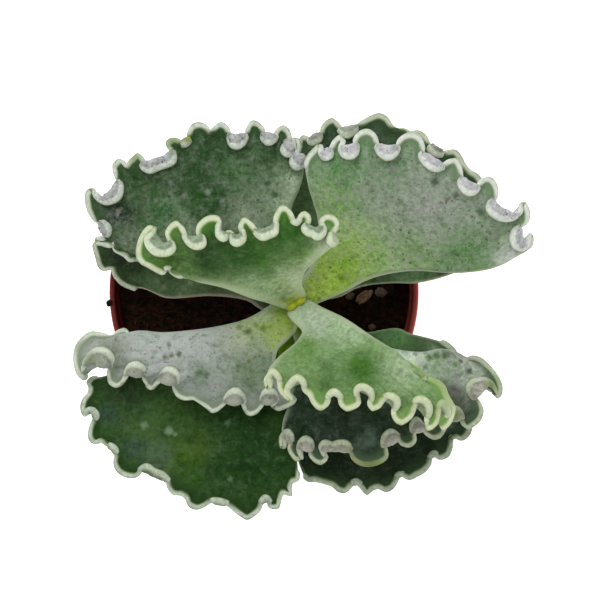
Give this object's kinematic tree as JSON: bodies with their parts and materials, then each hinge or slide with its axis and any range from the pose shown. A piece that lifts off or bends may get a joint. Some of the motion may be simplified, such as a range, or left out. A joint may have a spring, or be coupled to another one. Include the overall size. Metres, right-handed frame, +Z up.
{
  "type": "potted succulent plant",
  "caption": "Young upright succulent with opposite pairs of fleshy silver-green leaves, each with a wavy white margin, rooted in a small round tapered nursery pot.",
  "frame": {"origin": "centre of the pot's flat underside", "axes": "+Z up along the pot's axis; seen from above, +X is the right and +Y the top of the picture"},
  "size_m": [0.0911, 0.0813, 0.1087],
  "materials": {
    "pot_plastic": "satin",
    "potting_mix": "matte",
    "tan_grit": "matte",
    "grey_grit": "matte",
    "stem_skin": "satin",
    "young_leaf": "satin",
    "silver_leaf": "matte",
    "dark_leaf": "satin",
    "bud_leaf": "satin"
  },
  "bodies": {
    "root": {"pot": "pot_plastic", "soil": "potting_mix", "soil_crumb": "potting_mix", "grit_1": "tan_grit", "grit_2": "grey_grit", "grit_3": "tan_grit", "grit_4": "tan_grit", "stem": "stem_skin", "leaf_1_back_left": "young_leaf", "leaf_1_front_right": "young_leaf", "leaf_2_back_right": "silver_leaf", "leaf_2_left": "silver_leaf", "leaf_3_back_left": "dark_leaf", "leaf_3_front_right": "dark_leaf", "leaf_4_back_right": "dark_leaf", "leaf_4_front_left": "dark_leaf", "leaf_5_left": "dark_leaf", "leaf_5_front_right": "dark_leaf", "bud_leaf_a": "bud_leaf", "bud_leaf_b": "bud_leaf"}
  },
  "joints": []
}
